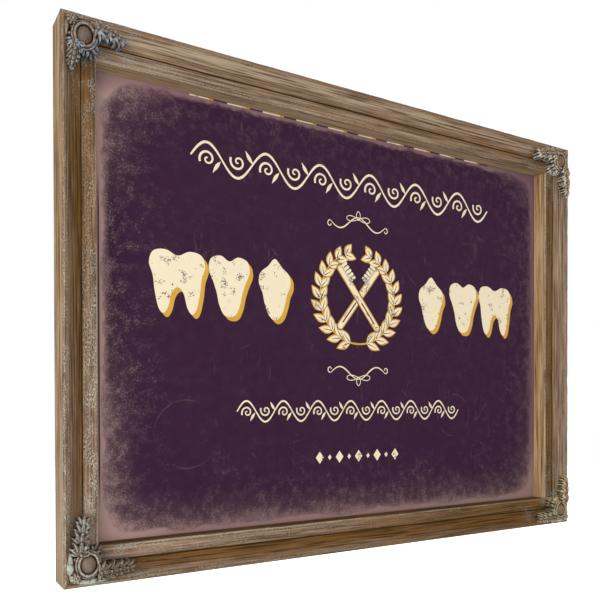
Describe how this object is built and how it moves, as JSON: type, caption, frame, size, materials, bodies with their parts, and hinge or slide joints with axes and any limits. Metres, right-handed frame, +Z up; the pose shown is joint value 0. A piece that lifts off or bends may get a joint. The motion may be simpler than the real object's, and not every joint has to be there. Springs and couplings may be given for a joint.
{
  "type": "framed dentist sign",
  "caption": "Wall sign: a printed board in a deep mitred wooden frame with cast corner ornaments, held in by turn buttons and hung on two D rings.",
  "frame": {"origin": "midway between the points where the two hanging rings bear on their wall hooks, in the plane of the wall", "axes": "+X to the viewer's right along the sign's width, +Y into the wall, +Z up; the printed face looks along -Y"},
  "size_m": [0.66, 0.0502, 0.502],
  "materials": {
    "frame_wood": "weathered grey-brown stain, dark glaze in the groove",
    "casting": "hard cast composition, bronze-brown with a worn blue-grey patina",
    "print": "matt plum print on board, worn mauve at its edges",
    "hardboard": "raw brown hardboard",
    "zinc_steel": "zinc plated",
    "blued_steel": "nickel plated, dull",
    "rubber": "matt black"
  },
  "bodies": {
    "framed_sign": {"top_rail": "frame_wood", "bottom_rail": "frame_wood", "left_rail": "frame_wood", "right_rail": "frame_wood", "corner_ornament_top_left": "casting", "corner_ornament_top_right": "casting", "corner_ornament_bottom_left": "casting", "corner_ornament_bottom_right": "casting", "sign_panel": "print", "backing_board": "hardboard", "turn_button_screw_top_left": "zinc_steel", "turn_button_screw_top_right": "zinc_steel", "turn_button_screw_bottom_left": "zinc_steel", "turn_button_screw_bottom_right": "zinc_steel", "turn_button_screw_left": "zinc_steel", "turn_button_screw_right": "zinc_steel", "mitre_nail_top_left_outer": "zinc_steel", "mitre_nail_top_left_inner": "zinc_steel", "mitre_nail_top_right_outer": "zinc_steel", "mitre_nail_top_right_inner": "zinc_steel", "mitre_nail_bottom_left_outer": "zinc_steel", "mitre_nail_bottom_left_inner": "zinc_steel", "mitre_nail_bottom_right_outer": "zinc_steel", "mitre_nail_bottom_right_inner": "zinc_steel", "hanger_strap_left": "blued_steel", "hanger_strap_right": "blued_steel", "hanger_screw_left_upper": "zinc_steel", "hanger_screw_left_lower": "zinc_steel", "hanger_screw_right_upper": "zinc_steel", "hanger_screw_right_lower": "zinc_steel", "bumper_left": "rubber", "bumper_right": "rubber"},
    "button_top_left": {"turn_button_top_left": "zinc_steel"},
    "button_top_right": {"turn_button_top_right": "zinc_steel"},
    "button_bottom_left": {"turn_button_bottom_left": "zinc_steel"},
    "button_bottom_right": {"turn_button_bottom_right": "zinc_steel"},
    "button_left": {"turn_button_left": "zinc_steel"},
    "button_right": {"turn_button_right": "zinc_steel"},
    "ring_left": {"hanger_ring_left": "blued_steel"},
    "ring_right": {"hanger_ring_right": "blued_steel"}
  },
  "joints": [
    {"name": "ring_left_swing", "type": "hinge", "parent": "framed_sign", "child": "ring_left", "pos_m": [-0.317, -0.0035, -0.01395], "axis": [-1, 0, 0], "range_deg": [0, 184.9]},
    {"name": "ring_right_swing", "type": "hinge", "parent": "framed_sign", "child": "ring_right", "pos_m": [0.317, -0.0035, -0.01395], "axis": [-1, 0, 0], "range_deg": [0, 184.9]},
    {"name": "button_top_left_turn", "type": "hinge", "parent": "framed_sign", "child": "button_top_left", "pos_m": [-0.15, -0.006, 0.09155], "axis": [0, 1, 0], "continuous": true},
    {"name": "button_top_right_turn", "type": "hinge", "parent": "framed_sign", "child": "button_top_right", "pos_m": [0.15, -0.006, 0.09155], "axis": [0, 1, 0], "continuous": true},
    {"name": "button_bottom_left_turn", "type": "hinge", "parent": "framed_sign", "child": "button_bottom_left", "pos_m": [-0.15, -0.006, -0.37145], "axis": [0, 1, 0], "continuous": true},
    {"name": "button_bottom_right_turn", "type": "hinge", "parent": "framed_sign", "child": "button_bottom_right", "pos_m": [0.15, -0.006, -0.37145], "axis": [0, 1, 0], "continuous": true},
    {"name": "button_left_turn", "type": "hinge", "parent": "framed_sign", "child": "button_left", "pos_m": [-0.3105, -0.006, -0.13995], "axis": [0, 1, 0], "continuous": true},
    {"name": "button_right_turn", "type": "hinge", "parent": "framed_sign", "child": "button_right", "pos_m": [0.3105, -0.006, -0.13995], "axis": [0, 1, 0], "continuous": true}
  ]
}
